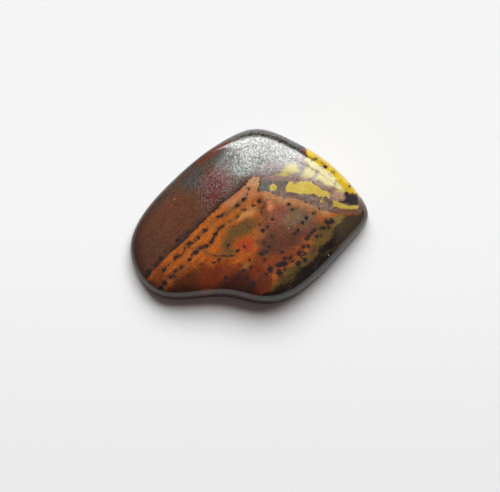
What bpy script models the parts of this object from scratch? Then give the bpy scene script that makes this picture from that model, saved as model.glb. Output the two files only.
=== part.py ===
"""Mugglestone: a small polished freeform cabochon, one closed solid of jasper and hematite.

The stone lies on its flat ground back in the XY plane with its domed, polished face up. X runs
along its long side, Y across it, and Z is its thickness. The shape is worked out in millimetres
and turned into metres as the mesh is made.
"""

import bmesh
import bpy
import numpy as np

MILLIMETRE = 0.001

# The widest outline, seen from above and read counter-clockwise from the tip at +X, in mm. Each
# point has x, y, the height to which the rounded edge climbs there and how far in it reaches.
OUTLINE = [
    (7.72, 0.00, 1.15, 1.5),      # rounded tip, ground thin
    (6.90, 1.66, 1.90, 2.3),
    (4.93, 3.61, 2.05, 3.0),
    (2.85, 4.89, 2.00, 3.8),
    (0.15, 5.67, 1.85, 3.0),      # top of the rounded upper corner
    (-1.72, 4.87, 1.60, 1.1),
    (-5.17, 2.05, 1.25, 0.7),
    (-6.83, 0.12, 1.00, 0.6),
    (-7.70, -2.05, 0.85, 0.6),    # the broad blunt end, thin and crisp
    (-7.03, -4.24, 1.00, 0.8),
    (-6.05, -5.20, 1.20, 1.2),
    (-3.35, -5.45, 1.55, 1.7),
    (-1.25, -5.35, 1.80, 2.0),    # shallow hollow in the lower side
    (0.70, -5.75, 1.90, 2.0),
    (2.15, -5.60, 1.85, 2.0),
    (4.35, -4.15, 1.70, 2.0),
    (6.98, -1.25, 1.35, 1.7),
]
CROWN_AT = (0.00, -0.36)   # highest point of the dome

THICKNESS = 2.45           # flat back to crown
BACK_CHAMFER = 0.10        # narrow chamfer ground round the back
PATH_IN = 1.30             # how far a section's path first runs in from the side
PATH_EVENED = 1.80         # length of side, each way, over which a path's first direction is evened
PATH_SPREAD = 0.45         # size of the sections near the crown, as a share of the outline
EDGE_ROUND = 5.0           # powers of the super-ellipse that rounds the edge: the first sets how
EDGE_UPRIGHT = 4.0         # it runs out on the face, the second how upright the side stands

COLUMNS = 112              # points round each section
CROWN_SECTIONS = 22        # sections from the widest outline to the crown
SECTION_CROWDING = 2.6     # above 1, sections stand closer together near the edge

STONE_COLOUR = (0.155, 0.050, 0.022, 1.0)
STONE_ROUGHNESS = 0.12


def clear_scene():
    """Remove every object of the scene that is open."""
    for item in list(bpy.data.objects):
        bpy.data.objects.remove(item, do_unlink=True)


def closed_spline(knots, count):
    """Points on a closed curve of smooth bend through the knots, evenly spread by length.

    Between two knots each value is a cubic of the chord length, seen from above, and the cubics
    meet with equal slope and equal second derivative. That gives one ring of linear equations
    for the second derivatives at the knots.
    """
    knots = np.asarray(knots, dtype=float)
    total = len(knots)
    after = np.roll(knots, -1, axis=0)
    chord = np.linalg.norm((after - knots)[:, :2], axis=1)
    before = np.roll(chord, 1)
    slope = (after - knots) / chord[:, None]
    here = np.arange(total)
    ring = np.zeros((total, total))
    ring[here, here] = 2.0 * (before + chord)
    ring[here, here - 1] = before
    ring[here, (here + 1) % total] = chord
    second = np.linalg.solve(ring, 6.0 * (slope - np.roll(slope, 1, axis=0)))

    ends = np.concatenate([[0.0], np.cumsum(chord)])
    along = np.linspace(0.0, ends[-1], count, endpoint=False)
    piece = np.searchsorted(ends, along, side="right") - 1
    done = (along - ends[piece])[:, None]
    left = (ends[piece + 1] - along)[:, None]
    length = chord[piece][:, None]
    start, finish = second[piece], second[(piece + 1) % total]
    return ((start * left ** 3 + finish * done ** 3) / (6.0 * length)
            + (knots[piece] / length - start * length / 6.0) * left
            + (after[piece] / length - finish * length / 6.0) * done)


def outward(ring):
    """Unit vectors that point out of a counter-clockwise closed ring, square to it."""
    along = np.roll(ring, -1, axis=0) - np.roll(ring, 1, axis=0)
    along = along / np.linalg.norm(along, axis=1)[:, None]
    return np.stack([along[:, 1], -along[:, 0]], axis=1)


def evened(directions, reach):
    """Unit vectors averaged round the ring with their neighbours up to that many points away."""
    total = sum(np.roll(directions, steps, axis=0) for steps in range(-reach, reach + 1))
    return total / np.linalg.norm(total, axis=1)[:, None]


def stone_sections():
    """Every section of the stone from the back to just below the crown, as rings of points.

    A section is the widest outline moved along a cubic path, which starts out across the edge
    and ends at the crown. Its height is the rounded edge, a super-ellipse of the distance moved
    in, plus a parabola for the dome.
    """
    rim = closed_spline(OUTLINE, COLUMNS)
    edge_height = rim[:, 2]
    edge_reach = rim[:, 3]
    rim = rim[:, :2] - (rim[:, :2].max(axis=0) + rim[:, :2].min(axis=0)) / 2.0
    out = outward(rim)
    spacing = np.linalg.norm(np.roll(rim, -1, axis=0) - rim, axis=1).mean()
    start = evened(out, round(PATH_EVENED / spacing))
    crown = np.array(CROWN_AT)

    sections = [np.column_stack([rim - out * BACK_CHAMFER, np.zeros(COLUMNS)])]
    for step in range(CROWN_SECTIONS):
        way = (step / CROWN_SECTIONS) ** SECTION_CROWDING
        back = 1.0 - way
        points = (back ** 3 * rim
                  + 3.0 * back ** 2 * way * (rim - PATH_IN * start)
                  + 3.0 * back * way ** 2 * (crown + PATH_SPREAD * (rim - crown))
                  + way ** 3 * crown)
        inward = np.minimum(3.0 * PATH_IN * way / edge_reach, 1.0)
        climb = (1.0 - (1.0 - inward) ** EDGE_ROUND) ** (1.0 / EDGE_UPRIGHT)
        edge = BACK_CHAMFER + (edge_height - BACK_CHAMFER) * climb
        dome = (THICKNESS - edge_height) * (1.0 - back ** 2)
        sections.append(np.column_stack([points, edge + dome]))
    return np.array(sections)


def stone_mesh(name):
    """A UV sphere whose rings are laid on the sections, its poles on the back and the crown."""
    sections = stone_sections() * MILLIMETRE
    rings = len(sections)
    net = bmesh.new()
    bmesh.ops.create_uvsphere(net, u_segments=COLUMNS, v_segments=rings + 1, radius=1.0)
    for corner in net.verts:
        x, y, z = corner.co
        ring = round(float(np.arccos(np.clip(-z, -1.0, 1.0))) / np.pi * (rings + 1)) - 1
        column = round(float(np.arctan2(y, x)) / (2.0 * np.pi) * COLUMNS) % COLUMNS
        if ring < 0:
            corner.co = (CROWN_AT[0] * MILLIMETRE, CROWN_AT[1] * MILLIMETRE, 0.0)
        elif ring >= rings:
            corner.co = (CROWN_AT[0] * MILLIMETRE, CROWN_AT[1] * MILLIMETRE, THICKNESS * MILLIMETRE)
        else:
            corner.co = sections[ring, column]
    mesh = bpy.data.meshes.new(name)
    net.to_mesh(mesh)
    net.free()
    mesh.shade_smooth()
    mesh.set_sharp_from_angle(angle=np.radians(35.0))
    return mesh


def stone_material():
    """The plain body colour and polish of the stone."""
    material = bpy.data.materials.new("polished_mugglestone")
    material.use_nodes = True
    shader = material.node_tree.nodes["Principled BSDF"]
    shader.inputs["Base Color"].default_value = STONE_COLOUR
    shader.inputs["Roughness"].default_value = STONE_ROUGHNESS
    shader.inputs["Metallic"].default_value = 0.0
    material.diffuse_color = STONE_COLOUR
    return material


def build():
    """Make the stone as one object in a collection named for it."""
    clear_scene()
    collection = bpy.data.collections.new("mugglestone")
    bpy.context.scene.collection.children.link(collection)
    stone = bpy.data.objects.new("stone", stone_mesh("stone"))
    stone.data.materials.append(stone_material())
    collection.objects.link(stone)


build()
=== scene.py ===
"""A polished mugglestone, a free-form cabochon of jasper and hematite, on a plain pale floor.

The stone lies on its flat back at the origin, its domed face up, X along its length and Y across
it. Sizes and places on the stone are in millimetres, read against its own frame.
"""

import bpy
import numpy as np
from mathutils import Matrix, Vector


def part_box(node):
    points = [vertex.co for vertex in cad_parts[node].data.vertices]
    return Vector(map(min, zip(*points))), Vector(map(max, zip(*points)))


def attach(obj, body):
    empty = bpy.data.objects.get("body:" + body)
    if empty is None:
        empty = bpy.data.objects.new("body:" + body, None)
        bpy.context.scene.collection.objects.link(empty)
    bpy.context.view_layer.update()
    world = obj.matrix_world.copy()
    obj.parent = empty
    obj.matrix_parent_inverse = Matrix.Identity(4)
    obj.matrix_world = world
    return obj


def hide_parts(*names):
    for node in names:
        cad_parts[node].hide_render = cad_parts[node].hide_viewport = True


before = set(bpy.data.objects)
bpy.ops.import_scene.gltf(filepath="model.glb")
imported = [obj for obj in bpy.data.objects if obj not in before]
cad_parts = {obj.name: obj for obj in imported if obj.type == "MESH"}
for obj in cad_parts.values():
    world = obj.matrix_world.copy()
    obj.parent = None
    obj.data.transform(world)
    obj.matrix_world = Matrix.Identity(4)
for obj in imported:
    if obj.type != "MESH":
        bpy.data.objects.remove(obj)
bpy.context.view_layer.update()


# The stone's ground form: one piece of ironstone jasper, sawn flat at the back and ground by hand
# to a free outline. The side stands upright, rounds over onto the face and runs up a low dome.
# This is the fine surface of the CAD solid, from the same outline and the same rules, in mm.
MILLIMETRE = 0.001
# The widest outline, seen from above. A point has x, y, the height to which the rounded edge
# climbs there and how far in it reaches.
OUTLINE = [
    (7.72, 0.00, 1.15, 1.5), (6.90, 1.66, 1.90, 2.3), (4.93, 3.61, 2.05, 3.0),
    (2.85, 4.89, 2.00, 3.8), (0.15, 5.67, 1.85, 3.0), (-1.72, 4.87, 1.60, 1.1),
    (-5.17, 2.05, 1.25, 0.7), (-6.83, 0.12, 1.00, 0.6), (-7.70, -2.05, 0.85, 0.6),
    (-7.03, -4.24, 1.00, 0.8), (-6.05, -5.20, 1.20, 1.2), (-3.35, -5.45, 1.55, 1.7),
    (-1.25, -5.35, 1.80, 2.0), (0.70, -5.75, 1.90, 2.0), (2.15, -5.60, 1.85, 2.0),
    (4.35, -4.15, 1.70, 2.0), (6.98, -1.25, 1.35, 1.7),
]
CROWN_AT = np.array([0.00, -0.36])   # highest point of the dome
THICKNESS = 2.45                     # flat back to crown
BACK_CHAMFER = 0.10                  # size of the rounding round the back
PATH_IN = 1.30                       # how far a ring's path first runs in from the side
PATH_EVENED = 1.80                   # length of side, each way, that evens out its first direction
PATH_SPREAD = 0.45                   # size of the rings near the crown, as a share of the outline
EDGE_ROUND = 5.0                     # powers of the edge's super-ellipse: how it runs out on the
EDGE_UPRIGHT = 4.0                   # face, and how upright the side stands
COLUMNS = 480                        # points round each ring
BACK_ROWS = 20                       # rings on the back, on its rounding and from there up
CHAMFER_ROWS = 5
CROWN_ROWS = 172
ROW_CROWDING = 1.8                   # above 1, rings stand closer together near the edge


def closed_spline(knots, count):
    """Points on a closed curve of smooth bend through the knots, evenly spread by length.

    Each coordinate is a cubic of the chord length between two knots, and the cubics meet with
    equal slope and equal second derivative, which one ring of linear equations settles.
    """
    knots = np.asarray(knots, dtype=float)
    total = len(knots)
    after = np.roll(knots, -1, axis=0)
    chord = np.linalg.norm((after - knots)[:, :2], axis=1)
    before = np.roll(chord, 1)
    slope = (after - knots) / chord[:, None]
    here = np.arange(total)
    ring = np.zeros((total, total))
    ring[here, here] = 2.0 * (before + chord)
    ring[here, here - 1] = before
    ring[here, (here + 1) % total] = chord
    second = np.linalg.solve(ring, 6.0 * (slope - np.roll(slope, 1, axis=0)))
    ends = np.concatenate([[0.0], np.cumsum(chord)])
    along = np.linspace(0.0, ends[-1], count, endpoint=False)
    piece = np.searchsorted(ends, along, side="right") - 1
    done = (along - ends[piece])[:, None]
    left = (ends[piece + 1] - along)[:, None]
    length = chord[piece][:, None]
    start, finish = second[piece], second[(piece + 1) % total]
    return ((start * left ** 3 + finish * done ** 3) / (6.0 * length)
            + (knots[piece] / length - start * length / 6.0) * left
            + (after[piece] / length - finish * length / 6.0) * done)


def stone_surface():
    """Rings of points, shaped (rows, columns, 3), from the middle of the back to the crown.

    The back is the outline shrunk towards the middle, and the back edge is a quarter round.
    Above it a ring is the outline carried along a cubic path that starts out across the edge and
    ends at the crown, at the height of a super-ellipse of the way moved in, for the rounded
    edge, plus a parabola, for the dome.
    """
    rim = closed_spline(OUTLINE, COLUMNS)
    edge_height, edge_reach = rim[:, 2:3], rim[:, 3:]
    rim = rim[:, :2] - (rim[:, :2].max(axis=0) + rim[:, :2].min(axis=0)) / 2.0
    along = np.roll(rim, -1, axis=0) - np.roll(rim, 1, axis=0)
    along = along / np.linalg.norm(along, axis=1)[:, None]
    out = np.stack([along[:, 1], -along[:, 0]], axis=1)
    foot = rim - out * BACK_CHAMFER
    spacing = np.linalg.norm(np.roll(rim, -1, axis=0) - rim, axis=1).mean()
    near = round(PATH_EVENED / spacing)
    start = sum(np.roll(out, steps, axis=0) for steps in range(-near, near + 1))
    start = start / np.linalg.norm(start, axis=1)[:, None]

    def rows(points, heights):
        heights = np.broadcast_to(heights, points.shape[:2] + (1,))
        return np.concatenate([points, heights], axis=2)

    share = (np.arange(1, BACK_ROWS + 1) / BACK_ROWS)[:, None, None]
    back = rows(CROWN_AT + share * (foot - CROWN_AT), 0.0)
    turn = (np.arange(1, CHAMFER_ROWS) / CHAMFER_ROWS * np.pi / 2.0)[:, None, None]
    chamfer = rows(foot + out * BACK_CHAMFER * np.sin(turn), BACK_CHAMFER * (1.0 - np.cos(turn)))
    way = ((np.arange(CROWN_ROWS) / CROWN_ROWS) ** ROW_CROWDING)[:, None, None]
    left = 1.0 - way
    path = (left ** 3 * rim + 3.0 * left ** 2 * way * (rim - PATH_IN * start)
            + 3.0 * left * way ** 2 * (CROWN_AT + PATH_SPREAD * (rim - CROWN_AT))
            + way ** 3 * CROWN_AT)
    inward = np.minimum(3.0 * PATH_IN * way / edge_reach, 1.0)
    climb = (1.0 - (1.0 - inward) ** EDGE_ROUND) ** (1.0 / EDGE_UPRIGHT)
    edge = BACK_CHAMFER + (edge_height - BACK_CHAMFER) * climb
    dome = (THICKNESS - edge_height) * (1.0 - left ** 2)
    return np.concatenate([back, chamfer, rows(path, edge + dome)])


def closed_net(name, rings, foot, peak):
    """A closed mesh over rings of points, with one point under the first and over the last."""
    count, columns = rings.shape[:2]
    points = np.concatenate([[foot], rings.reshape(-1, 3), [peak]])
    here = 1 + np.arange(columns)
    beside = 1 + (np.arange(columns) + 1) % columns
    lower = (np.arange(count - 1) * columns)[:, None]
    corners = [lower + here, lower + beside, lower + beside + columns, lower + here + columns]
    quads = np.stack(corners, axis=2).reshape(-1, 4)
    last = (count - 1) * columns
    bottom = np.stack([np.zeros(columns, int), beside, here], axis=1)
    top = np.stack([last + here, last + beside, np.full(columns, len(points) - 1)], axis=1)
    mesh = bpy.data.meshes.new(name)
    mesh.from_pydata(points.tolist(), [], quads.tolist() + bottom.tolist() + top.tolist())
    mesh.shade_smooth()
    return mesh, points


# The rings are carried from millimetres into the box of the CAD solid.
low, high = (np.array(corner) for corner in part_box("stone"))
rings = stone_surface()
least, most = rings.min(axis=(0, 1)), rings.max(axis=(0, 1))
most[2] = THICKNESS
to_frame = (high - low) / (most - least)
mesh, points = closed_net("polished_stone", low + (rings - least) * to_frame,
                          low + (np.append(CROWN_AT, 0.0) - least) * to_frame,
                          low + (np.append(CROWN_AT, THICKNESS) - least) * to_frame)
stone = bpy.data.objects.new("polished_stone", mesh)
bpy.context.scene.collection.objects.link(stone)
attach(stone, "root")
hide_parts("stone")


# The growth pattern runs right through the stone. Each patch, vein and grain is drawn where it
# comes out at the polished face and goes down at a slant, so that the side and the back cut it
# elsewhere. A point keeps how deep it is inside each patch, in mm.
SLANT = np.array([0.0, 0.167])         # how far the pattern shifts for each mm below the crown
LOWER_BELOW = 1.00                     # the height under which it also slants the other way
LOWER_SLANT = np.array([0.70, 0.70])   # how far it shifts back there for each mm

where = points / MILLIMETRE
above_back = where[:, 2:]
spots = (where[:, :2] - (THICKNESS - above_back) * SLANT
         + np.maximum(LOWER_BELOW - above_back, 0.0) * LOWER_SLANT)


def along_line(start, finish):
    """Distance from each spot to the straight stretch from start to finish."""
    step = finish - start
    share = np.clip(((spots - start) @ step) / (step @ step), 0.0, 1.0)
    return np.linalg.norm(spots - start - share[:, None] * step, axis=1)


def inside(outline):
    """How deep each spot is inside a closed outline: the distance to its nearest edge, negative
    outside. A spot is inside where a ray from it crosses the outline an odd number of times."""
    corners = np.asarray(outline, dtype=float)
    nearest = np.full(len(spots), np.inf)
    within = np.zeros(len(spots), dtype=bool)
    for start, finish in zip(corners, np.roll(corners, -1, axis=0)):
        nearest = np.minimum(nearest, along_line(start, finish))
        spans = (start[1] > spots[:, 1]) != (finish[1] > spots[:, 1])
        rise = finish[1] - start[1] if finish[1] != start[1] else 1.0
        crossing = start[0] + (spots[:, 1] - start[1]) * (finish[0] - start[0]) / rise
        within ^= spans & (spots[:, 0] < crossing)
    return np.where(within, nearest, -nearest)


def in_vein(width, line):
    """How deep each spot is inside a vein of that width along a broken line."""
    ends = np.asarray(line, dtype=float)
    nearest = np.full(len(spots), np.inf)
    for start, finish in zip(ends[:-1], ends[1:]):
        nearest = np.minimum(nearest, along_line(start, finish))
    return width / 2.0 - nearest


def in_grains(grains):
    """How deep each spot is inside the nearest grain, given as x, y, radius, and for a long grain
    the share by which it is longer and the bearing of its length from X in degrees."""
    deepest = np.full(len(spots), -9.0)
    for x, y, radius, longer, bearing in grains:
        turn = np.radians(bearing)
        off = spots - (x, y)
        along = (off[:, 0] * np.cos(turn) + off[:, 1] * np.sin(turn)) / (1.0 + longer)
        across = off[:, 1] * np.cos(turn) - off[:, 0] * np.sin(turn)
        deepest = np.maximum(deepest, radius - np.hypot(along, across))
    return deepest


def lay(name, *depths):
    """Keep the greatest of some depths on the stone's points under a name."""
    mesh.attributes.new(name, "FLOAT", "POINT").data.foreach_set("value", np.max(depths, axis=0))


def lumps(size, longer, seed):
    """Noise from -1 to 1 in lumps about that many mm wide, and that much longer along the seam:
    chance heights on a square lattice of that pitch, joined by smooth steps."""
    lattice = 256
    heights = np.random.default_rng(seed).uniform(-1.0, 1.0, (lattice, lattice))
    turned = spots @ np.array([[1.0, -1.0], [1.0, 1.0]]) / np.sqrt(2.0)
    place = turned / (size * longer, size) + lattice / 2.0
    corner = np.floor(place).astype(int)
    ease = place - corner
    ease = ease ** 2 * (3.0 - 2.0 * ease)
    x, y = corner.T
    below = heights[x, y] + (heights[x + 1, y] - heights[x, y]) * ease[:, 0]
    beyond = heights[x, y + 1] + (heights[x + 1, y + 1] - heights[x, y + 1]) * ease[:, 0]
    return below + (beyond - below) * ease[:, 1]


def paint(red, green, blue):
    """A colour given as 0 to 255 on a screen, as light."""
    screen = np.array([red, green, blue]) / 255.0
    light = np.where(screen > 0.04045, ((screen + 0.055) / 1.055) ** 2.4, screen / 12.92)
    return (*light, 1.0)


# The jasper half, orange to brown, meets the hematite half along one straight seam that runs up
# to the right and ends in a small hook. Its upper edge falls away to the tip of the stone, and
# its lower right turns into nearly black ironstone.
SEAM = [
    (-7.60, -5.60), (-6.45, -4.45), (-6.30, -4.15), (-5.90, -3.75), (-5.45, -3.30), (-5.20, -3.00),
    (-4.80, -2.65), (-4.20, -2.10), (-4.05, -1.95), (-3.70, -1.55), (-3.25, -1.10), (-2.60, -0.43),
    (-2.02, 0.10), (-1.60, 0.53), (-1.00, 1.00), (-0.48, 1.47), (-0.25, 1.65), (-0.22, 1.80),
    (0.20, 2.20), (0.50, 2.20), (0.67, 2.10),
]
UPPER_EDGE = [
    (0.60, 1.70), (0.45, 1.35), (0.50, 1.20), (0.90, 1.25), (1.30, 1.20), (1.50, 1.00),
    (2.00, 0.90), (2.20, 0.75), (2.60, 0.80), (3.10, 0.75), (3.50, 0.55), (3.90, 0.40),
    (4.30, 0.20), (4.70, 0.05), (5.10, 0.00), (5.50, -0.15),
]
lay("jasper", inside(SEAM + UPPER_EDGE + [
    (6.40, -0.10), (10.00, 0.00), (10.00, -8.00), (-7.60, -8.00)]))
lay("ironstone", inside([
    (9.00, 0.10), (7.35, 0.15), (7.10, -0.05), (6.60, -0.22), (6.10, -0.30), (5.95, -0.60),
    (5.60, -0.95), (5.35, -1.30), (5.15, -1.80), (4.65, -2.30), (4.40, -2.80), (4.05, -3.20),
    (3.65, -3.55), (3.15, -3.70), (2.95, -4.15), (2.70, -4.50), (2.20, -4.85), (1.40, -5.15),
    (0.90, -5.30), (-0.50, -6.20), (2.00, -9.00), (9.00, -9.00)]))
lay("iron_upper", inside([
    (5.40, -1.00), (5.90, -2.20), (7.00, -2.60), (9.00, -2.00), (9.00, 0.50), (5.80, 0.00)]))

# How far the soft edges of clouds stray: noise in lumps of four sizes, longer along the seam.
wobble = (0.45 * lumps(0.90, 1.6, 1) + 0.40 * lumps(0.42, 1.4, 2) + 0.28 * lumps(0.20, 1.2, 3)
          + 0.16 * lumps(0.10, 1.0, 4))


def lay_clouds(name, clouds):
    """Mix soft clouds of colour, each over the ones before it, and keep on the stone's points the
    mixed colour, and how much of it covers the ground under a second name. A cloud has a name,
    the width of its soft edge in mm, its colour on a screen and its outline."""
    mixed, cover = np.zeros((len(spots), 3)), np.zeros((len(spots), 1))
    for _, soft, colour, outline in clouds:
        share = np.clip(0.5 + (inside(outline) / soft + wobble) / 2.0, 0.0, 1.0)[:, None]
        share = share ** 2 * (3.0 - 2.0 * share)
        mixed += share * (np.array(paint(*colour)[:3]) - mixed)
        cover += share * (1.0 - cover)
    mixed = mixed / np.maximum(cover, 0.001)
    mesh.attributes.new(name, "FLOAT_VECTOR", "POINT").data.foreach_set("vector", mixed.ravel())
    lay(name + "_cover", cover[:, 0])


lay_clouds("hematite_clouds", [
    ("blunt_end", 0.70, (91, 59, 43), [
        (-8.00, -0.80), (-6.40, -0.60), (-5.90, -2.60), (-6.20, -3.40), (-7.50, -5.50)]),
    ("red_brown", 0.80, (100, 60, 43), [
        (-6.00, 0.00), (-4.80, 1.20), (-3.60, 0.60), (-3.00, -0.20), (-4.40, -1.50),
        (-5.60, -2.20)]),
    ("north_west", 0.50, (75, 61, 52), [
        (-7.60, 0.20), (-6.10, 0.10), (-5.20, 0.80), (-4.60, 1.60), (-3.80, 2.20), (-3.20, 3.00),
        (-3.20, 5.00), (-8.00, 3.00)]),
    ("dusky", 0.50, (74, 69, 65), [
        (-4.60, 1.40), (-3.40, 2.60), (-2.40, 3.60), (-1.60, 4.60), (0.00, 5.40), (2.00, 5.00),
        (3.20, 4.20), (3.20, 3.40), (1.60, 2.20), (-0.20, 2.20), (-1.20, 2.40), (-1.80, 2.90),
        (-2.80, 2.60), (-3.40, 1.60)]),
    ("crimson", 0.50, (98, 44, 44), [
        (-3.00, 1.60), (-2.60, 2.40), (-1.80, 2.60), (-1.30, 1.90), (-1.60, 1.00), (-2.40, 0.40),
        (-3.00, 0.80)]),
    ("seam_shade", 0.25, (56, 44, 39), [
        (-7.20, -4.80), (-4.00, -1.55), (-1.60, 0.80), (-0.40, 1.90), (-0.20, 1.60),
        (-1.60, 0.30), (-3.80, -1.90), (-6.80, -5.00)]),
    # A dark band along the north rim is painted shade, standing in for the darker surroundings
    # that the steep rim reflects.
    ("painted_rim_shade", 0.15, (44, 37, 33), [
        (-1.60, 4.30), (-1.05, 4.67), (-0.40, 4.87), (0.30, 4.94), (1.20, 4.77), (2.14, 4.36),
        (2.80, 4.05), (3.40, 3.75), (4.50, 4.50), (3.00, 6.50), (-2.00, 6.50)]),
    ("oxide", 0.30, (132, 114, 110), [
        (0.20, 2.35), (0.50, 2.90), (1.60, 3.05), (2.40, 3.10), (3.20, 3.60), (3.60, 3.40),
        (3.40, 2.20), (2.20, 2.05), (1.10, 2.15)]),
])
lay_clouds("jasper_clouds", [
    ("seam_end", 0.50, (122, 58, 27), [
        (-7.60, -5.60), (-6.40, -4.40), (-5.70, -3.70), (-5.10, -4.30), (-5.60, -5.80)]),
    ("hook", 0.30, (180, 122, 84), [
        (-1.70, 0.50), (-1.00, 1.05), (-0.25, 1.75), (0.20, 2.25), (0.70, 2.15), (0.55, 1.20),
        (0.10, 0.80), (-0.60, 0.45), (-1.10, 0.15)]),
    ("halo", 0.18, (104, 90, 68), [
        (-1.90, -0.45), (-1.35, 0.05), (-0.75, 0.50), (-0.30, 0.85), (-0.20, 0.70),
        (-0.65, 0.28), (-1.20, -0.15), (-1.80, -0.55)]),
    ("hook_tip", 0.20, (200, 148, 108), [
        (-0.35, 1.55), (-0.10, 2.00), (0.20, 2.25), (0.60, 2.20), (0.60, 1.70), (0.30, 1.55)]),
    ("bright", 0.25, (216, 146, 78), [
        (-0.95, -0.75), (-0.60, -0.30), (-0.10, 0.05), (0.35, 0.35), (0.50, 0.05), (0.10, -0.35),
        (-0.40, -0.60)]),
    ("glow", 0.30, (188, 98, 32), [
        (-2.90, -2.35), (-2.25, -1.45), (-1.80, -0.90), (-1.40, -0.95), (-1.50, -1.70),
        (-1.45, -2.50), (-1.80, -2.85), (-2.60, -2.85)]),
    ("low_left", 0.50, (98, 50, 26), [
        (-6.60, -5.20), (-5.20, -4.70), (-4.30, -4.00), (-2.90, -3.85), (-2.20, -4.20),
        (-2.20, -6.00), (-6.50, -6.00)]),
    ("lower_edge", 0.40, (74, 37, 23), [
        (-6.50, -5.35), (-4.50, -4.80), (-2.50, -4.80), (-1.50, -5.00), (-1.50, -6.50),
        (-6.50, -6.50)]),
    ("olive", 0.30, (106, 77, 43), [
        (-1.95, -3.05), (-1.75, -2.30), (-1.50, -1.40), (-1.15, -0.85), (-0.40, -0.62),
        (0.40, -0.40), (0.85, -0.75), (0.60, -1.30), (0.10, -1.50), (-0.40, -1.60),
        (-0.85, -1.95), (-0.95, -2.40), (-0.85, -2.80), (-1.20, -3.00)]),
    ("middle", 0.60, (112, 70, 52), [
        (0.55, 0.20), (1.10, 0.90), (2.20, 0.60), (3.40, 0.20), (4.60, -0.40), (5.20, -0.90),
        (4.60, -1.40), (3.90, -2.00), (3.20, -2.50), (2.20, -2.90), (1.20, -3.10), (0.60, -2.90),
        (0.50, -1.90), (0.50, -1.00)]),
    ("middle_high", 0.45, (124, 98, 76), [
        (1.90, 0.20), (3.20, 0.20), (4.40, -0.40), (3.40, -1.00), (2.40, -0.80), (1.70, -0.50)]),
    ("middle_rose", 0.35, (136, 82, 64), [
        (1.10, 0.30), (2.10, 0.50), (2.40, 0.10), (1.80, -0.70), (1.30, -1.20), (1.00, -0.50)]),
    ("middle_low", 0.45, (97, 59, 44), [
        (0.90, -1.80), (2.20, -1.40), (3.50, -1.50), (3.60, -2.20), (2.60, -2.70), (1.60, -3.00),
        (0.60, -2.90)]),
    ("ochre", 0.20, (152, 92, 54), [
        (0.40, -1.00), (0.55, -0.80), (0.80, -1.00), (1.05, -1.40), (0.85, -1.75), (0.50, -1.70)]),
    ("red_floor", 0.45, (120, 53, 29), [
        (-2.60, -3.60), (-1.40, -3.40), (-0.50, -3.50), (0.60, -3.20), (1.20, -3.60),
        (1.60, -4.20), (1.50, -5.00), (0.50, -6.00), (-2.60, -6.00), (-3.40, -4.80)]),
    ("floor_right", 0.35, (124, 63, 35), [
        (0.20, -3.10), (1.40, -2.95), (2.60, -2.60), (3.60, -2.30), (3.40, -2.90), (2.40, -3.60),
        (1.60, -4.20), (1.10, -4.30), (0.90, -3.70)]),
    ("floor_low", 0.30, (102, 50, 32), [
        (0.50, -3.90), (1.10, -4.00), (1.60, -4.30), (1.60, -5.00), (0.90, -5.20), (0.40, -4.60)]),
    ("maroon", 0.30, (74, 36, 27), [
        (-1.90, -4.90), (-0.90, -4.05), (0.00, -4.10), (0.40, -4.40), (0.50, -6.00),
        (-2.60, -6.20)]),
    ("olive_band", 0.25, (103, 80, 43), [
        (6.20, -0.25), (5.20, -0.40), (4.35, -0.90), (4.00, -1.90), (3.60, -2.70), (2.95, -3.15),
        (2.30, -3.60), (1.80, -4.30), (1.40, -5.00), (1.60, -5.60), (3.60, -4.60), (5.40, -2.40),
        (6.60, -0.60)]),
    ("olive_low", 0.30, (80, 66, 34), [
        (3.30, -3.45), (2.90, -3.65), (2.50, -3.95), (2.00, -4.50), (1.60, -5.40),
        (2.60, -5.00), (3.30, -4.00)]),
    ("olive_tip", 0.20, (136, 108, 62), [
        (4.95, -0.40), (5.90, -0.35), (6.00, -0.70), (5.50, -0.95), (5.10, -0.80)]),
    ("heart", 0.20, (168, 74, 37), [
        (-1.00, -2.20), (-0.70, -1.95), (-0.20, -1.85), (0.05, -1.55), (0.20, -1.75),
        (0.15, -2.10), (0.35, -2.60), (-0.20, -2.65), (-0.70, -2.60)]),
    ("heart_core", 0.20, (172, 68, 38), [
        (-0.35, -2.60), (-0.20, -2.20), (0.05, -2.05), (0.20, -2.30), (0.25, -2.60)]),
    ("upper_tan", 0.30, (186, 134, 92), [
        (0.70, 1.50), (1.50, 1.20), (2.00, 1.10), (2.60, 1.00), (3.10, 0.95), (3.90, 0.60),
        (4.70, 0.25), (5.40, 0.00), (5.00, -0.30), (4.00, -0.05), (3.20, 0.35), (2.40, 0.45),
        (1.60, 0.70), (0.90, 0.85)]),
    ("spot", 0.12, (214, 130, 86), [
        (1.15, 0.10), (1.15, 0.50), (1.35, 0.60), (1.50, 0.25), (1.35, 0.00)]),
    ("red_streak", 0.15, (104, 50, 38), [
        (3.90, -2.90), (4.05, -2.40), (4.30, -2.30), (4.25, -2.75)]),
    ("gold", 0.10, (150, 104, 42), [
        (-0.45, -3.85), (-0.20, -3.45), (0.05, -3.35), (0.10, -3.55), (-0.20, -3.85)]),
    ("flame", 0.12, (156, 76, 36), [
        (1.30, -3.60), (1.80, -3.25), (2.20, -2.95), (2.30, -3.10), (1.70, -3.55)]),
])

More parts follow.
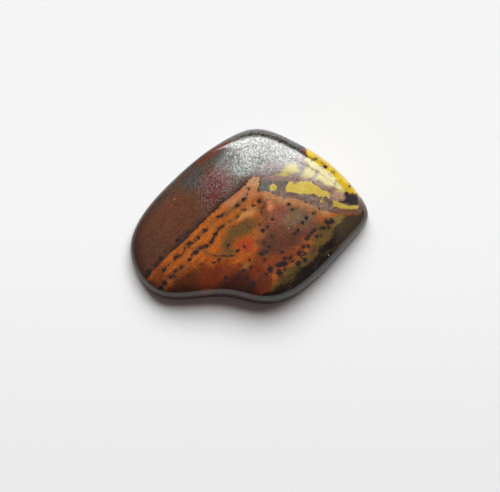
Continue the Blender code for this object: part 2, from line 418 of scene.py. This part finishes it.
# The yellow jasper: one broad broken patch above the jasper's upper edge, paler chips above it, a
# dot in the dark belt and a thin lens of it along the rim.
lay("yellow",
    inside([(2.25, 1.35), (2.45, 1.85), (2.75, 1.90), (2.80, 1.70), (3.00, 1.75), (3.20, 1.90),
            (3.45, 1.90), (3.70, 1.95), (4.00, 1.90), (4.30, 1.60), (4.60, 1.40), (5.10, 1.20),
            (5.15, 0.85), (4.90, 0.95), (4.45, 0.95), (4.30, 1.10), (3.50, 1.10), (2.40, 1.25)]),
    inside([(5.35, 0.75), (5.70, 0.60), (6.10, 0.45), (6.35, 0.40), (6.55, 0.40), (6.70, 0.50),
            (7.00, 0.35), (7.00, 0.20), (6.60, 0.15), (6.20, 0.15), (5.60, 0.25), (5.40, 0.30)]),
    in_grains([(1.50, 1.50, 0.22, 0.0, 0.0), (4.60, 0.65, 0.08, 0.6, 70.0)]))
lay("rim_yellow", inside([
    (3.55, 4.50), (3.65, 3.75), (4.30, 3.15), (5.20, 2.45), (5.90, 1.75), (6.30, 1.25),
    (6.90, 1.20), (7.10, 0.95), (7.30, 1.20), (6.90, 1.85), (5.90, 2.90), (4.90, 3.75)]))
lay("chips",
    inside([(1.75, 2.38), (2.10, 2.52), (2.60, 2.45), (2.65, 2.25), (2.20, 2.20)]),
    inside([(2.10, 2.62), (2.50, 3.05), (2.90, 3.12), (3.00, 2.90), (3.25, 2.58), (2.60, 2.52)]),
    inside([(3.15, 2.20), (3.65, 2.85), (4.28, 2.72), (4.22, 2.50), (4.00, 2.22), (3.60, 2.10)]),
    inside([(3.90, 2.98), (3.60, 3.30), (3.75, 3.60), (4.40, 3.05), (5.20, 2.40), (5.55, 2.15),
            (5.35, 1.60), (5.00, 1.66), (4.70, 1.84), (4.18, 2.12), (4.42, 2.62)]),
    inside([(5.62, 2.10), (6.05, 1.75), (6.20, 1.20), (5.85, 1.30), (5.45, 1.55)]))

# The grey-brown belt of matrix between the jasper's upper edge and the chips.
lay("matrix", inside([
    (0.50, 1.10), (0.70, 2.10), (1.20, 2.25), (2.20, 2.25), (5.30, 1.60), (6.50, 1.25),
    (7.30, 1.10), (8.50, 0.60), (8.50, -0.30), (5.50, -0.50), (3.50, 0.40), (1.50, 0.90)]))
lay_clouds("matrix_clouds", [
    ("mauve", 0.25, (158, 126, 118), [(1.00, 2.00), (1.10, 2.45), (1.80, 2.50), (1.75, 2.05)]),
    ("dusk", 0.25, (114, 104, 99), [
        (1.60, 1.80), (1.90, 2.15), (2.40, 2.10), (2.50, 1.40), (1.80, 1.10), (1.60, 1.20)]),
    ("umber", 0.25, (124, 99, 86), [
        (1.90, 1.10), (2.20, 1.30), (3.00, 1.10), (4.00, 0.85), (4.10, 0.45), (3.20, 0.65),
        (2.30, 0.70)]),
    ("blue_grey", 0.25, (102, 106, 102), [
        (0.62, 1.25), (0.60, 1.75), (0.85, 1.95), (1.20, 1.90), (1.25, 1.70), (1.15, 1.45),
        (1.40, 1.25), (1.00, 1.15)]),
    ("blue_fleck", 0.15, (92, 100, 100), [(2.15, 1.05), (2.40, 1.10), (2.75, 0.98), (2.30, 0.90)]),
    ("grey_fleck", 0.20, (118, 122, 116), [
        (3.20, 1.02), (3.60, 1.05), (3.95, 0.85), (3.70, 0.75)]),
    ("pink_brown", 0.25, (184, 142, 118), [
        (5.20, 1.30), (5.80, 1.40), (6.20, 1.15), (6.10, 0.80), (5.70, 0.70), (5.30, 0.85)]),
])

# A nearly black patch near the tip, red veins at the rim, orange marks at the tip and in the
# middle of the yellow dot, the two parts where the hematite is coarse and glitters, and the veins
# between the pieces of yellow jasper.
lay("black_patch", inside([
    (6.10, 1.15), (6.90, 1.15), (7.05, 0.90), (7.10, 0.50), (6.60, 0.40), (6.30, 0.50),
    (5.70, 0.62), (6.10, 0.80)]))
lay("red_rim", in_vein(0.14, [
    (-3.40, 3.05), (-3.00, 3.30), (-2.50, 3.65), (-2.00, 4.10), (-1.20, 4.65)]),
    in_vein(0.20, [(3.30, 4.05), (3.55, 3.85)]))
lay("tip_orange", in_vein(0.24, [(5.50, -0.05), (6.20, 0.02), (6.80, 0.06)]),
    in_grains([(7.22, 0.52, 0.13, 0.3, 60.0), (1.52, 1.48, 0.03, 0.0, 0.0)]))
lay("frosted", inside([
    (-1.50, 5.70), (-1.60, 4.30), (-1.20, 3.40), (-1.30, 2.70), (-1.10, 2.10), (-0.20, 2.10),
    (0.40, 2.20), (1.20, 2.10), (2.20, 2.40), (3.00, 3.10), (3.60, 3.70), (3.20, 5.70)]))
lay("specked", inside([
    (-1.60, 4.20), (-2.35, 2.80), (-3.60, 2.20), (-3.70, 1.20), (-2.90, 0.00), (-2.20, -0.10),
    (-0.60, 1.40), (0.20, 2.20), (1.60, 2.20), (1.00, 3.00)]))
lay("veins",
    in_vein(0.18, [(1.70, 2.10), (2.60, 2.10), (2.75, 1.95), (3.00, 2.20), (3.50, 2.05),
                   (4.10, 1.95), (4.50, 1.75), (4.80, 1.50), (5.30, 1.20)]),
    in_vein(0.06, [(3.00, 2.20), (3.30, 2.50), (3.50, 2.80)]),
    in_vein(0.06, [(4.00, 2.10), (4.35, 2.40), (4.50, 2.55)]),
    in_vein(0.06, [(5.45, 1.90), (5.45, 1.50), (5.30, 1.20)]))

# Grains of black iron oxide: two ragged chains of them run along the seam, and more are strewn
# over the right half of the jasper and along the rim. A thread joins the beads of each chain, and
# is thicker along the middle of the lower one.
UPPER_CHAIN = [
    (-5.60, -4.00), (-5.45, -3.90), (-4.65, -3.10), (-4.40, -3.00), (-3.78, -2.20),
    (-3.40, -1.90), (-3.25, -1.75), (-2.95, -1.45), (-2.80, -1.35), (-2.40, -1.00),
    (-2.00, -0.50), (-1.85, -0.40), (-1.60, -0.30), (-1.30, -0.15), (-0.85, 0.25),
    (-0.70, 0.35), (-0.45, 0.65), (-0.30, 0.70), (-0.15, 1.10),
]
LOWER_CHAIN = [
    (-5.30, -4.60), (-5.00, -4.35), (-4.80, -4.30), (-4.70, -4.00), (-4.35, -3.75),
    (-4.00, -3.55), (-3.85, -3.25), (-3.70, -3.15), (-3.65, -2.95), (-3.40, -2.75),
    (-3.30, -2.50), (-3.00, -2.45), (-2.75, -2.35), (-2.60, -2.30), (-2.45, -2.15),
    (-2.40, -2.05), (-2.30, -1.85), (-2.15, -1.60), (-2.00, -1.25), (-1.90, -1.20),
    (-1.70, -1.05), (-1.45, -0.75), (-1.05, -0.70), (-0.80, -0.40), (-0.35, 0.00), (0.20, 0.30),
]
BEADS = [
    (-5.45, -3.90, 0.10, 0.3, 45), (-4.65, -3.10, 0.11, 0.4, 45), (-4.40, -3.00, 0.09, 0, 0),
    (-3.78, -2.20, 0.15, 0.3, 45), (-3.32, -1.82, 0.12, 0.7, 45), (-2.88, -1.40, 0.11, 0.6, 40),
    (-2.00, -0.50, 0.11, 0.2, 45), (-1.72, -0.35, 0.09, 0.8, 30), (-0.78, 0.30, 0.10, 0.6, 45),
    (-0.38, 0.68, 0.10, 0.5, 20), (-4.10, -2.45, 0.07, 0.5, 60), (-0.10, 1.40, 0.06, 0.2, 0),
    (-6.40, -4.85, 0.14, 0.3, 45), (-5.65, -5.15, 0.20, 0, 0), (-5.40, -4.85, 0.19, 0.2, 40),
    (-4.95, -4.35, 0.13, 0.5, 20), (-4.70, -4.00, 0.10, 0.3, 60), (-4.35, -3.75, 0.09, 0.2, 40),
    (-3.78, -3.22, 0.09, 0.6, 50), (-3.65, -2.95, 0.08, 0, 0), (-3.40, -2.75, 0.15, 0.2, 40),
    (-3.15, -2.48, 0.12, 0.7, 15), (-2.75, -2.35, 0.13, 0.4, 10), (-2.48, -2.15, 0.12, 0.5, 50),
    (-2.30, -1.85, 0.09, 0.4, 60), (-2.15, -1.60, 0.09, 0.4, 60), (-1.95, -1.22, 0.11, 0.4, 30),
    (-1.68, -1.05, 0.08, 0.3, 40), (-0.80, -0.40, 0.09, 0.2, 40), (-0.35, 0.00, 0.10, 0.2, 40),
    (0.20, 0.30, 0.08, 0, 0), (0.60, 0.62, 0.13, 0.2, 20),
]
GRAINS = [
    (5.20, -0.70, 0.20, 0.3, 0), (4.95, -0.65, 0.12, 0, 0), (4.70, -1.10, 0.14, 0.2, 30),
    (5.10, -1.05, 0.10, 0, 0), (4.30, -1.65, 0.10, 0, 0), (4.55, -1.60, 0.09, 0, 0),
    (3.45, -2.30, 0.12, 0.2, 60), (3.75, -2.30, 0.13, 0, 0), (3.20, -2.75, 0.13, 0.4, 90),
    (3.50, -2.75, 0.13, 0, 0), (3.60, -3.20, 0.13, 0, 0), (3.20, -3.40, 0.13, 0.3, 20),
    (2.65, -3.05, 0.12, 0, 0), (2.75, -3.30, 0.10, 0, 0), (2.25, -3.15, 0.12, 0.5, 20),
    (2.10, -3.45, 0.20, 1.2, 15), (1.35, -3.85, 0.15, 0.4, 80), (1.10, -4.15, 0.11, 0, 0),
    (1.95, -4.05, 0.20, 0.2, 120), (2.30, -3.80, 0.11, 0, 0), (0.30, -4.75, 0.17, 0, 0),
    (-0.10, -5.10, 0.14, 0.3, 40), (-1.45, -4.40, 0.09, 0, 0), (-1.50, -4.70, 0.08, 0, 0),
    (-0.35, -3.95, 0.10, 0.7, 40), (0.15, -3.70, 0.11, 0, 0), (0.05, -3.25, 0.08, 0, 0),
    (1.00, -3.20, 0.08, 0, 0), (2.05, -2.70, 0.08, 0.5, 30), (0.75, -2.80, 0.11, 0.3, 0),
    (0.95, -2.65, 0.10, 0, 0), (1.15, -2.70, 0.08, 0, 0), (1.25, -2.35, 0.11, 0, 0),
    (0.95, -2.10, 0.10, 0, 0), (1.45, -1.65, 0.09, 0, 0), (1.20, -1.05, 0.09, 0, 0),
    (2.90, -1.50, 0.10, 0.5, 40), (3.10, -1.30, 0.10, 0, 0), (1.50, -0.55, 0.08, 0, 0),
    (3.40, -0.75, 0.10, 0, 0), (3.60, -0.45, 0.12, 0.2, 70), (4.15, -0.10, 0.13, 0, 0),
    (2.50, 0.40, 0.12, 0, 0), (2.75, 0.10, 0.08, 0, 0), (0.85, -1.30, 0.11, 0.2, 90),
    (0.65, -0.95, 0.08, 0, 0), (-0.30, -2.35, 0.08, 0, 0), (-0.75, -2.60, 0.10, 0, 0),
    (-1.35, -2.30, 0.10, 0, 0), (-1.95, -3.25, 0.13, 0.2, 20), (-2.25, -3.40, 0.09, 0, 0),
    (-3.10, -3.50, 0.07, 0, 0), (-3.85, -4.30, 0.08, 0, 0), (5.20, 1.35, 0.08, 0, 0),
    (4.20, 3.40, 0.08, 0.9, 20), (4.65, 3.20, 0.07, 0, 0), (4.85, 2.95, 0.15, 0, 0),
    (5.40, 2.60, 0.09, 0, 0), (6.45, 1.65, 0.08, 0, 0), (6.20, 1.20, 0.09, 0, 0),
    (3.70, 3.50, 0.06, 0, 0), (3.25, 3.85, 0.12, 0.4, 20),
]
lay("grains", in_grains(BEADS), in_grains(GRAINS),
    in_vein(0.20, [(4.20, -1.20), (3.95, -1.45), (3.70, -1.80)]),
    in_vein(0.07, [(3.60, -3.20), (3.30, -3.00), (3.45, -2.60)]))
lay("threads", in_vein(0.03, UPPER_CHAIN), in_vein(0.03, LOWER_CHAIN),
    in_vein(0.17, LOWER_CHAIN[9:20]),
    in_vein(0.07, [(-4.10, -2.20), (-3.60, -2.60), (-3.40, -2.75)]),
    in_vein(0.09, [(-2.90, -2.60), (-2.60, -2.85), (-2.20, -3.00), (-1.50, -3.00),
                   (-1.00, -2.95)]),
    in_vein(0.08, [(1.00, 0.45), (0.80, 0.10), (0.75, -0.20)]))
lay("seam_blots", in_grains([
    (-4.50, -2.00, 0.13, 0.4, 30), (-5.35, -2.80, 0.14, 0.3, 50), (-5.70, -3.20, 0.14, 0.3, 40),
    (-6.00, -3.65, 0.16, 0.2, 40), (-6.45, -4.15, 0.18, 0.2, 40), (-6.80, -4.50, 0.16, 0.2, 40)]))
lay("white_specks", in_grains([
    (-4.85, 0.70, 0.035, 0, 0), (2.50, -1.15, 0.035, 0, 0), (5.10, -2.85, 0.035, 0, 0)]))

# How far down the side a point is, from 0 where the side's painted shade begins to 1.
SIDE_TOP = 1.55
SIDE_FADE = 0.60
lay("side", np.clip((SIDE_TOP - where[:, 2]) / SIDE_FADE, 0.0, 1.0))


# The stone's colours and polish, as one material that runs through the whole piece. The depths
# above set where one colour passes into the next, and noise in the stone breaks the edges up.
class Wire:
    """One output socket of a tree of nodes; sums, differences and products add Math nodes."""

    tree = None

    def __init__(self, socket):
        self.socket = socket

    @classmethod
    def node(cls, kind, settings=None, inputs=None, output=0):
        """Add a node, make its settings, then fill or link its inputs; gives one output."""
        made = cls.tree.nodes.new(kind)
        for name, value in (settings or {}).items():
            setattr(made, name, value)
        for name, value in (inputs or {}).items():
            if isinstance(value, Wire):
                cls.tree.links.new(value.socket, made.inputs[name])
            else:
                made.inputs[name].default_value = value
        return cls(made.outputs[output])

    def math(self, operation, first, second):
        """A Math node on two wires or numbers."""
        return Wire.node("ShaderNodeMath", {"operation": operation}, {0: first, 1: second})

    def __add__(self, other):
        return self.math("ADD", self, other)

    __radd__ = __add__

    def __sub__(self, other):
        return self.math("SUBTRACT", self, other)

    def __rsub__(self, other):
        return self.math("SUBTRACT", other, self)

    def __mul__(self, other):
        return self.math("MULTIPLY", self, other)

    __rmul__ = __mul__


def fade(value, start, finish):
    """0 where the value hasn't reached start, 1 past finish, and a smooth S between them; start
    may be above finish."""
    return Wire.node("ShaderNodeMapRange", {"interpolation_type": "SMOOTHSTEP"},
                     {"Value": value, "From Min": start, "From Max": finish})


def blend(share, first, second):
    """The first colour where the share is 0, the second where it is 1."""
    return Wire.node("ShaderNodeMix", {"data_type": "RGBA"},
                     {0: share, 6: first, 7: second}, output=2)


material = bpy.data.materials.new("polished_mugglestone")
material.use_nodes = True
Wire.tree = material.node_tree
shader = Wire.tree.nodes["Principled BSDF"]
in_mm = Wire.node("ShaderNodeVectorMath", {"operation": "SCALE"},
                  {0: Wire.node("ShaderNodeTexCoord", output="Object"),
                   "Scale": 1.0 / MILLIMETRE})


def mottle(size, detail=3.0, roughness=0.55, bearing=0.0, longer=1.0):
    """Noise about 0 of spots about that many mm wide and that much longer along a bearing."""
    laid = Wire.node("ShaderNodeMapping", {"vector_type": "TEXTURE"},
                     {"Vector": in_mm, "Rotation": (0.0, 0.0, np.radians(bearing)),
                      "Scale": (size * longer, size, size)})
    return Wire.node("ShaderNodeTexNoise", None,
                     {"Vector": laid, "Scale": 1.0, "Detail": detail,
                      "Roughness": roughness}) - 0.5


def depth(name):
    """How deep the stone is inside a patch, in mm, kept on its points."""
    return Wire.node("ShaderNodeAttribute", {"attribute_name": name}, output="Fac")


def tinted(colour, red, green, blue):
    """The colour with its red, green and blue each multiplied."""
    return Wire.node("ShaderNodeVectorMath", {"operation": "MULTIPLY"},
                     {0: colour, 1: (red, green, blue)})


def toned(colour, factor):
    """The colour made lighter or darker by a varying factor."""
    return Wire.node("ShaderNodeVectorMath", {"operation": "SCALE"}, {0: colour, "Scale": factor})


def cloud_colour(name):
    """The mixed colour of a set of clouds, kept on the stone's points."""
    return Wire.node("ShaderNodeAttribute", {"attribute_name": name}, output="Color")


tiny = mottle(0.10, 2.0, 0.6)
fine = mottle(0.24, 4.0, 0.65)
ragged = mottle(0.60, 4.0, 0.62)
streaks = mottle(0.22, 3.0, 0.6, 45.0, 4.5)
bands = mottle(0.55, 3.0, 0.55, 45.0, 3.0)

# Ways in which edges stray, in mm: by broad lobes, coarsely, and hardly at all.
lobes = 0.5 * bands + 0.9 * ragged + 0.5 * fine
rough = 0.7 * ragged + 0.5 * fine
crisp = 0.26 * fine + 0.12 * ragged

# Hematite half: dull red-brown at the blunt end, crimson under the top, dark along the seam, grey
# where it glitters.
frost = fade(depth("frosted") + lobes, -0.35, 0.50)
specked = fade(depth("specked") + lobes * 1.5, -0.70, 0.60)
# The hematite clouds include painted shade along the north rim.
ground = blend(depth("hematite_clouds_cover"), paint(92, 60, 44), cloud_colour("hematite_clouds"))
ground = blend(fade(rough, 0.00, 0.20) * 0.5, ground, tinted(ground, 0.66, 0.86, 1.00))
ground = blend(fade(bands, 0.00, 0.20) * 0.5, ground, tinted(ground, 1.22, 0.96, 0.86))
ground = blend(fade(depth("red_rim") + rough * 0.5, -0.04, 0.06) * 0.9, ground,
               paint(116, 48, 36))

# Belt of grey-brown matrix above the jasper.
matrix = blend(fade(rough, -0.12, 0.12), paint(112, 91, 80), paint(156, 129, 112))
matrix = blend(depth("matrix_clouds_cover"), matrix, cloud_colour("matrix_clouds"))
matrix_share = fade(depth("matrix") + rough, -0.15, 0.15)
ground = blend(matrix_share, ground, matrix)

# Jasper: orange streaks and bands along the seam, clouds of other colours over them, darker and
# redder mottling, and fine black specks.
jasper = blend(fade(streaks + 0.6 * bands, -0.16, 0.16), paint(164, 81, 29), paint(192, 104, 38))
jasper = blend(fade(rough, 0.02, 0.20) * 0.5, jasper, paint(156, 100, 46))
jasper = blend(depth("jasper_clouds_cover"), jasper, cloud_colour("jasper_clouds"))
threads = depth("threads") + 0.5 * fine + 0.3 * tiny
jasper = blend(fade(threads, -0.26, 0.02) * 0.4, jasper, paint(108, 78, 46))
jasper = blend(fade(streaks + fine, 0.04, 0.20) * 0.6, jasper, tinted(jasper, 0.62, 0.78, 0.90))
jasper = blend(fade(mottle(0.34, 3.0, 0.6), 0.02, 0.14) * 0.7, jasper,
               tinted(jasper, 1.32, 0.94, 0.76))
jasper = blend(fade(ragged - fine, 0.06, 0.20) * 0.5, jasper, tinted(jasper, 0.72, 0.92, 1.00))
specks = tiny + 0.5 * fine
jasper = blend(fade(specks, 0.13, 0.26) * 0.7, jasper, paint(66, 48, 38))
jasper_share = fade(depth("jasper") + crisp, -0.04, 0.04)
ground = blend(jasper_share, ground, jasper)

# The side is painted shade, dark red-brown lower down, and all the ground so far is finely
# speckled.
side = fade(depth("side"), 0.0, 1.0)
ground = toned(blend(side * 0.85, ground, paint(54, 29, 25)), 1.0 + 1.8 * specks)

# Yellow jasper, its paler chips and the veins between them.
yellow = blend(fade(rough, -0.14, 0.14), paint(202, 174, 74), paint(213, 190, 90))
rim_yellow = blend(fade(fine, -0.10, 0.10), paint(198, 156, 14), paint(208, 180, 30))
chips = blend(fade(ragged, -0.10, 0.10), paint(178, 162, 82), paint(194, 178, 98))
chips_share = fade(depth("chips") + rough * 0.8, -0.16, 0.10)
ground = blend(chips_share, ground, chips)
ground = blend(fade(depth("veins") + rough * 0.8, -0.10, 0.06), ground, paint(150, 122, 112))
ground = blend(fade(depth("yellow") + crisp, -0.05, 0.04), ground, yellow)
ground = blend(fade(depth("rim_yellow") + crisp, -0.06, 0.04), ground, rim_yellow)

# Nearly black ironstone, the marks at the tip, and the black grains and threads.
dark = blend(fade(depth("iron_upper") + rough, -0.6, 0.5), paint(34, 29, 25), paint(66, 55, 43))
dark = blend(fade(streaks + 0.4 * fine, 0.00, 0.16) * 0.7, dark, paint(74, 65, 40))
ground = blend(fade(depth("ironstone") + rough + streaks * 0.5, -0.12, 0.12), ground, dark)
ground = blend(fade(depth("tip_orange") + rough * 0.7, -0.08, 0.08) * 0.9, ground,
               paint(124, 78, 54))
ground = blend(fade(depth("black_patch") + rough * 0.8, -0.06, 0.06), ground, paint(54, 50, 50))
grains = depth("grains") + 0.52 * fine + 0.40 * tiny
ground = blend(fade(grains, -0.16, 0.02) * 0.35, ground, paint(70, 54, 44))
ground = blend(fade(grains, -0.04, 0.05), ground, paint(44, 37, 38))
ground = blend(fade(threads, -0.02, 0.06) * 0.85, ground, paint(48, 38, 34))
ground = blend(fade(depth("seam_blots") + rough, -0.08, 0.08), ground, paint(46, 38, 38))
ground = blend(fade(depth("white_specks"), -0.02, 0.02), ground, paint(232, 226, 214))

# Polish: glassy on the face, a little duller on the side. Where the hematite is coarse its grains
# lie at all angles under a clear skin of polish and glitter, most thickly under the upper corner,
# and some are bare metal-grey.
STONE_IOR = 1.55
FLAKES_PER_MM = 17.0
FACETS_PER_MM = 20.0
FACET_RELIEF = 0.003 * MILLIMETRE    # height of the facets under the skin of polish
bare = (1.0 - jasper_share) * (1.0 - matrix_share) * (1.0 - chips_share)
glitter = (frost * 0.68 + specked * 0.42) * bare
flakes = fade(Wire.node("ShaderNodeTexVoronoi", None, {"Vector": in_mm, "Scale": FLAKES_PER_MM},
                        output="Color") + 0.3 * glitter, 0.80, 0.86) * glitter
ground = blend(flakes * 0.9, ground, paint(150, 152, 146))
facets = Wire.node("ShaderNodeBump", None, {
    "Height": Wire.node("ShaderNodeTexVoronoi", None, {"Vector": in_mm, "Scale": FACETS_PER_MM})
    * (frost * bare + flakes * 0.5), "Distance": FACET_RELIEF, "Strength": 1.0}, output="Normal")
for name, value in {"Base Color": ground, "Normal": facets, "Metallic": flakes * 0.6,
                    "Roughness": 0.06 + 0.06 * glitter + 0.24 * side,
                    "Coat Weight": frost * 0.5}.items():
    Wire.tree.links.new(value.socket, shader.inputs[name])
shader.inputs["IOR"].default_value = STONE_IOR
shader.inputs["Coat IOR"].default_value = STONE_IOR
shader.inputs["Coat Roughness"].default_value = 0.03
mesh.materials.append(material)


# The floor that the stone lies on: one plain sheet, pale and matt, with painted shade that makes
# it a little darker towards the viewer. It lies a hair below the stone's back.
SHEET_HALF = 1200.0 * MILLIMETRE
SHEET_DROP = 0.01 * MILLIMETRE
PALE = (0.89, 0.89, 0.89, 1.0)
PALE_NEAR = (0.81, 0.81, 0.81, 1.0)
DARKENS_FROM = 2.0 * MILLIMETRE
DARKENS_TO = -19.0 * MILLIMETRE
sheet_mesh = bpy.data.meshes.new("sheet")
sheet_mesh.from_pydata([(x * SHEET_HALF, y * SHEET_HALF, -SHEET_DROP)
                        for x, y in [(-1, -1), (1, -1), (1, 1), (-1, 1)]], [], [(0, 1, 2, 3)])
sheet = bpy.data.objects.new("sheet", sheet_mesh)
bpy.context.scene.collection.objects.link(sheet)
sheet_material = bpy.data.materials.new("pale_matt")
sheet_material.use_nodes = True
Wire.tree = sheet_material.node_tree
sheet_shader = Wire.tree.nodes["Principled BSDF"]
sheet_shader.inputs["Roughness"].default_value = 0.9
sheet_shader.inputs["Specular IOR Level"].default_value = 0.0
northward = Wire.node("ShaderNodeSeparateXYZ", None,
                      {0: Wire.node("ShaderNodeTexCoord", output="Object")}, output="Y")
# Painted shade: the sheet darkens towards the viewer, as the light falls off.
shade = blend(fade(northward, DARKENS_FROM, DARKENS_TO), PALE, PALE_NEAR)
Wire.tree.links.new(shade.socket, sheet_shader.inputs["Base Color"])
sheet_mesh.materials.append(sheet_material)


# Soft studio light: a broad panel like a window to the north, half way up, with one above it that
# is dimmer towards its top, in a dim warm room. The two are wider to the east where they meet, and
# the upper one narrows from the west. Edges are in degrees above the floor, and east of north.
KEY = 7.35                           # the panels' light
ABOVE_KEY = 0.9                      # the upper panel's light, as a share of the lower one's
KEY_RED = 0.965                      # the panels are a little blue, by this share of red
ROOM = (0.112, 0.080, 0.077, 1.0)
TO_DEGREES = 57.29578
PANEL_FOOT, PANEL_TOP = (25.0, 26.5), (49.6, 49.0)
ABOVE_FOOT, ABOVE_TOP = (50.5, 51.1), (71.0, 57.0)
WEST_EDGE, EAST_EDGE = (-34.5, -32.5), (44.0, 36.0)
MEET_AT = 50.0
WEST_NARROWS = 0.42                  # degrees for each degree above where the panels meet
EAST_WIDENS = 20.0                   # degrees, where the panels meet
WIDE_FOOT, WIDE_TOP = (38.0, 45.0), (62.0, 55.0)
world = bpy.data.worlds.new("studio")
world.use_nodes = True
bpy.context.scene.world = world
Wire.tree = world.node_tree
split = Wire.node("ShaderNodeSeparateXYZ", None,
                  {0: Wire.node("ShaderNodeTexCoord", output="Generated")})
east, north, up = (Wire(socket) for socket in split.socket.node.outputs)
elevation = Wire.node("ShaderNodeMath", {"operation": "ARCSINE"}, {0: up}) * TO_DEGREES
bearing = Wire.node("ShaderNodeMath", {"operation": "ARCTAN2"}, {0: east, 1: north}) * TO_DEGREES
past_meeting = Wire.node("ShaderNodeMath", {"operation": "MAXIMUM"},
                         {0: elevation - MEET_AT, 1: 0.0})
wider = EAST_WIDENS * fade(elevation, *WIDE_FOOT) * fade(elevation, *WIDE_TOP)
across = (fade(bearing - WEST_NARROWS * past_meeting, *WEST_EDGE)
          * fade(bearing - wider, *EAST_EDGE))
panel = fade(elevation, *PANEL_FOOT) * fade(elevation, *PANEL_TOP)
above = fade(elevation, *ABOVE_FOOT) * fade(elevation, *ABOVE_TOP)
light = (panel + above * ABOVE_KEY) * across * KEY
lit = Wire.node("ShaderNodeMix", {"data_type": "RGBA", "blend_type": "ADD"},
                {0: 1.0, 6: ROOM,
                 7: Wire.node("ShaderNodeCombineXYZ", None,
                              {0: light * KEY_RED, 1: light, 2: light})}, output=2)
Wire.tree.links.new(lit.socket, Wire.tree.nodes["Background"].inputs["Color"])


# The camera looks down from a little south of the stone, a long way off for its size.
TILT = np.radians(9.5)
ROLL = np.radians(0.62)
TARGET = np.array([0.05, -1.91, 0.0]) * MILLIMETRE
DISTANCE = 114.08 * MILLIMETRE
LENS = 126.0
camera_data = bpy.data.cameras.new("camera")
camera_data.sensor_width = 36.0
camera_data.lens = LENS
camera_data.clip_start = 0.001
camera_data.clip_end = 10.0
camera = bpy.data.objects.new("camera", camera_data)
bpy.context.scene.collection.objects.link(camera)
ahead = np.array([0.0, np.sin(TILT), -np.cos(TILT)])
level = np.array([1.0, 0.0, 0.0])
upright = np.cross(level, ahead)
right = np.cos(ROLL) * level + np.sin(ROLL) * upright
top = np.cos(ROLL) * upright - np.sin(ROLL) * level
place = np.eye(4)
place[:3] = np.column_stack([right, top, -ahead, TARGET - ahead * DISTANCE])
camera.matrix_world = Matrix(place.tolist())
bpy.context.scene.camera = camera
bpy.context.scene.view_settings.view_transform = "Standard"
